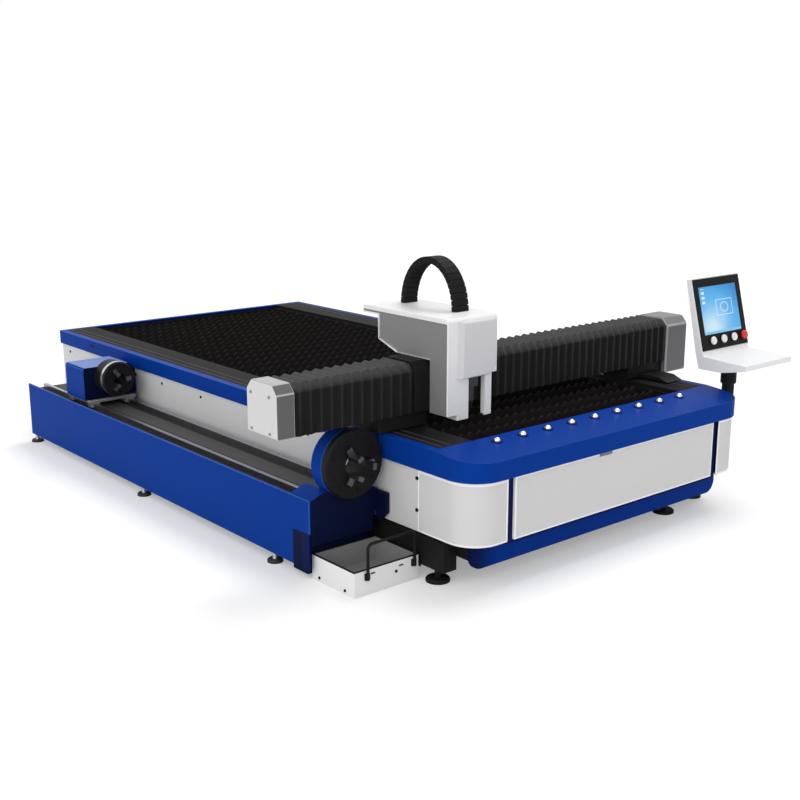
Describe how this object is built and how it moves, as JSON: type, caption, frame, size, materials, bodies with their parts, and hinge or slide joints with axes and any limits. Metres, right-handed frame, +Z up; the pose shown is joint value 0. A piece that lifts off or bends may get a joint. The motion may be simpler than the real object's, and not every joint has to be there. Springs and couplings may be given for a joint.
{
  "type": "fiber laser cutting machine",
  "caption": "Flatbed fibre laser cutter for sheet and tube, with a bellows-covered gantry, travelling cutting head, slatted table, side chuck unit and operator console.",
  "frame": {"origin": "on the floor under the middle of the machine's box", "axes": "+Z up, +Y from the operator's front panels to the back, +X to the operator's right"},
  "size_m": [3.384, 4.763, 1.611],
  "materials": {
    "blue_paint": "semi-gloss powder coat",
    "navy_paint": "semi-gloss powder coat",
    "white_paint": "semi-gloss powder coat",
    "grey_paint": "satin powder coat",
    "black_paint": "satin powder coat",
    "table_black": "matt powder coat",
    "slat_steel": "scaled hot rolled steel",
    "rail_steel": "ground",
    "chuck_black": "black oxide",
    "jaw_steel": "ground",
    "ball_steel": "polished",
    "bellows_fabric": "coated cloth",
    "chain_plastic": "moulded",
    "head_black": "anodised",
    "nozzle_brass": "turned",
    "rubber_black": "moulded",
    "bezel_black": "gloss",
    "screen_glass": "lit display behind glass",
    "button_white": "gloss",
    "button_red": "gloss"
  },
  "bodies": {
    "bed": {"bed_frame": "black_paint", "bed_legs": "black_paint", "bed_feet": "rubber_black", "side_panels": "white_paint", "rear_panel": "white_paint", "corner_panels": "white_paint", "front_lip": "blue_paint", "top_band": "blue_paint", "front_skirt": "blue_paint", "rail_covers": "table_black", "slat_frame": "table_black", "slats": "slat_steel", "bed_rails": "rail_steel", "ball_cups": "rail_steel", "drawer_runners": "black_paint", "console_post": "black_paint", "tube_bed": "blue_paint", "tube_feet": "rubber_black", "tube_rails": "rail_steel", "tie_brackets": "black_paint", "front_chuck_base": "navy_paint", "front_chuck_housing": "blue_paint", "catch_tray": "white_paint", "tray_handle": "black_paint"},
    "ball_row": {"balls": "ball_steel"},
    "slag_drawer": {"drawer_front": "white_paint", "drawer_tray": "black_paint"},
    "gantry": {"gantry_beam": "black_paint", "gantry_cap_left": "grey_paint", "gantry_cap_right": "grey_paint", "bellows_left": "bellows_fabric", "bellows_right": "bellows_fabric", "beam_rails": "rail_steel", "gantry_feet": "black_paint"},
    "head": {"head_carriage": "black_paint", "head_shell": "white_paint", "head_cheeks": "grey_paint", "head_front_box": "white_paint", "cable_arch": "chain_plastic"},
    "laser": {"z_slide": "head_black", "cutting_head": "head_black", "nozzle": "nozzle_brass"},
    "console": {"console_collar": "black_paint", "console_housing": "white_paint", "console_bezel": "bezel_black", "console_screen": "screen_glass"},
    "left_button": {"left_button": "button_white"},
    "middle_button": {"middle_button": "button_white"},
    "right_button": {"right_button": "button_white"},
    "stop_button": {"stop_button": "button_red"},
    "front_chuck": {"front_chuck_disc": "chuck_black"},
    "rear_unit": {"rear_carriage": "grey_paint", "rear_chuck_housing": "blue_paint"},
    "rear_chuck": {"rear_chuck_disc": "chuck_black"},
    "front_jaw_1": {"front_jaw_1": "jaw_steel"},
    "rear_jaw_1": {"rear_jaw_1": "jaw_steel"},
    "front_jaw_2": {"front_jaw_2": "jaw_steel"},
    "rear_jaw_2": {"rear_jaw_2": "jaw_steel"},
    "front_jaw_3": {"front_jaw_3": "jaw_steel"},
    "rear_jaw_3": {"rear_jaw_3": "jaw_steel"}
  },
  "joints": [
    {"name": "gantry_travel", "type": "slide", "parent": "bed", "child": "gantry", "axis": [0, 1, 0], "range_m": [-0.08, 3]},
    {"name": "head_travel", "type": "slide", "parent": "gantry", "child": "head", "axis": [1, 0, 0], "range_m": [-0.68, 1.45], "deforming": ["bellows_left", "bellows_right"]},
    {"name": "z_travel", "type": "slide", "parent": "head", "child": "laser", "axis": [0, 0, 1], "range_m": [-0.05, 0.06]},
    {"name": "ball_roll", "type": "hinge", "parent": "bed", "child": "ball_row", "pos_m": [0.153, -2.12197, 0.72291], "axis": [1, 0, 0], "continuous": true},
    {"name": "drawer_slide", "type": "slide", "parent": "bed", "child": "slag_drawer", "axis": [0, -1, 0], "range_m": [0, 0.9]},
    {"name": "console_swivel", "type": "hinge", "parent": "bed", "child": "console", "pos_m": [1.4475, -2.1035, 0.84], "axis": [0, 0, 1], "range_deg": [-25, 25]},
    {"name": "left_button_press", "type": "slide", "parent": "console", "child": "left_button", "axis": [0, 0.9677, -0.2521], "range_m": [0, 0.004], "stiffness_N_per_m": 1200},
    {"name": "middle_button_press", "type": "slide", "parent": "console", "child": "middle_button", "axis": [0, 0.9677, -0.2521], "range_m": [0, 0.004], "stiffness_N_per_m": 1200},
    {"name": "right_button_press", "type": "slide", "parent": "console", "child": "right_button", "axis": [0, 0.9677, -0.2521], "range_m": [0, 0.004], "stiffness_N_per_m": 1200},
    {"name": "stop_button_press", "type": "slide", "parent": "console", "child": "stop_button", "axis": [0, 0.9677, -0.2521], "range_m": [0, 0.005], "stiffness_N_per_m": 1500},
    {"name": "front_chuck_spin", "type": "hinge", "parent": "bed", "child": "front_chuck", "pos_m": [-1.199, -1.6715, 0.602], "axis": [0, 1, 0], "continuous": true},
    {"name": "rear_carriage_travel", "type": "slide", "parent": "bed", "child": "rear_unit", "axis": [0, 1, 0], "range_m": [-2.3, 0.45]},
    {"name": "rear_chuck_spin", "type": "hinge", "parent": "rear_unit", "child": "rear_chuck", "pos_m": [-1.199, 0.9735, 0.602], "axis": [0, 1, 0], "continuous": true},
    {"name": "front_jaw_1_slide", "type": "slide", "parent": "front_chuck", "child": "front_jaw_1", "axis": [1, 0, 0], "range_m": [-0.03, 0.06]},
    {"name": "front_jaw_2_slide", "type": "slide", "parent": "front_chuck", "child": "front_jaw_2", "axis": [-0.5, 0, 0.866], "range_m": [-0.03, 0.06]},
    {"name": "front_jaw_3_slide", "type": "slide", "parent": "front_chuck", "child": "front_jaw_3", "axis": [-0.5, 0, -0.866], "range_m": [-0.03, 0.06]},
    {"name": "rear_jaw_1_slide", "type": "slide", "parent": "rear_chuck", "child": "rear_jaw_1", "axis": [1, 0, 0], "range_m": [-0.022, 0.04]},
    {"name": "rear_jaw_2_slide", "type": "slide", "parent": "rear_chuck", "child": "rear_jaw_2", "axis": [-0.5, 0, 0.866], "range_m": [-0.022, 0.04]},
    {"name": "rear_jaw_3_slide", "type": "slide", "parent": "rear_chuck", "child": "rear_jaw_3", "axis": [-0.5, 0, -0.866], "range_m": [-0.022, 0.04]}
  ],
  "couplings": [
    {"joint": "rear_chuck_spin", "follows": "front_chuck_spin", "ratio": 1},
    {"joint": "front_jaw_2_slide", "follows": "front_jaw_1_slide", "ratio": 1},
    {"joint": "front_jaw_3_slide", "follows": "front_jaw_1_slide", "ratio": 1},
    {"joint": "rear_jaw_2_slide", "follows": "rear_jaw_1_slide", "ratio": 1},
    {"joint": "rear_jaw_3_slide", "follows": "rear_jaw_1_slide", "ratio": 1}
  ]
}
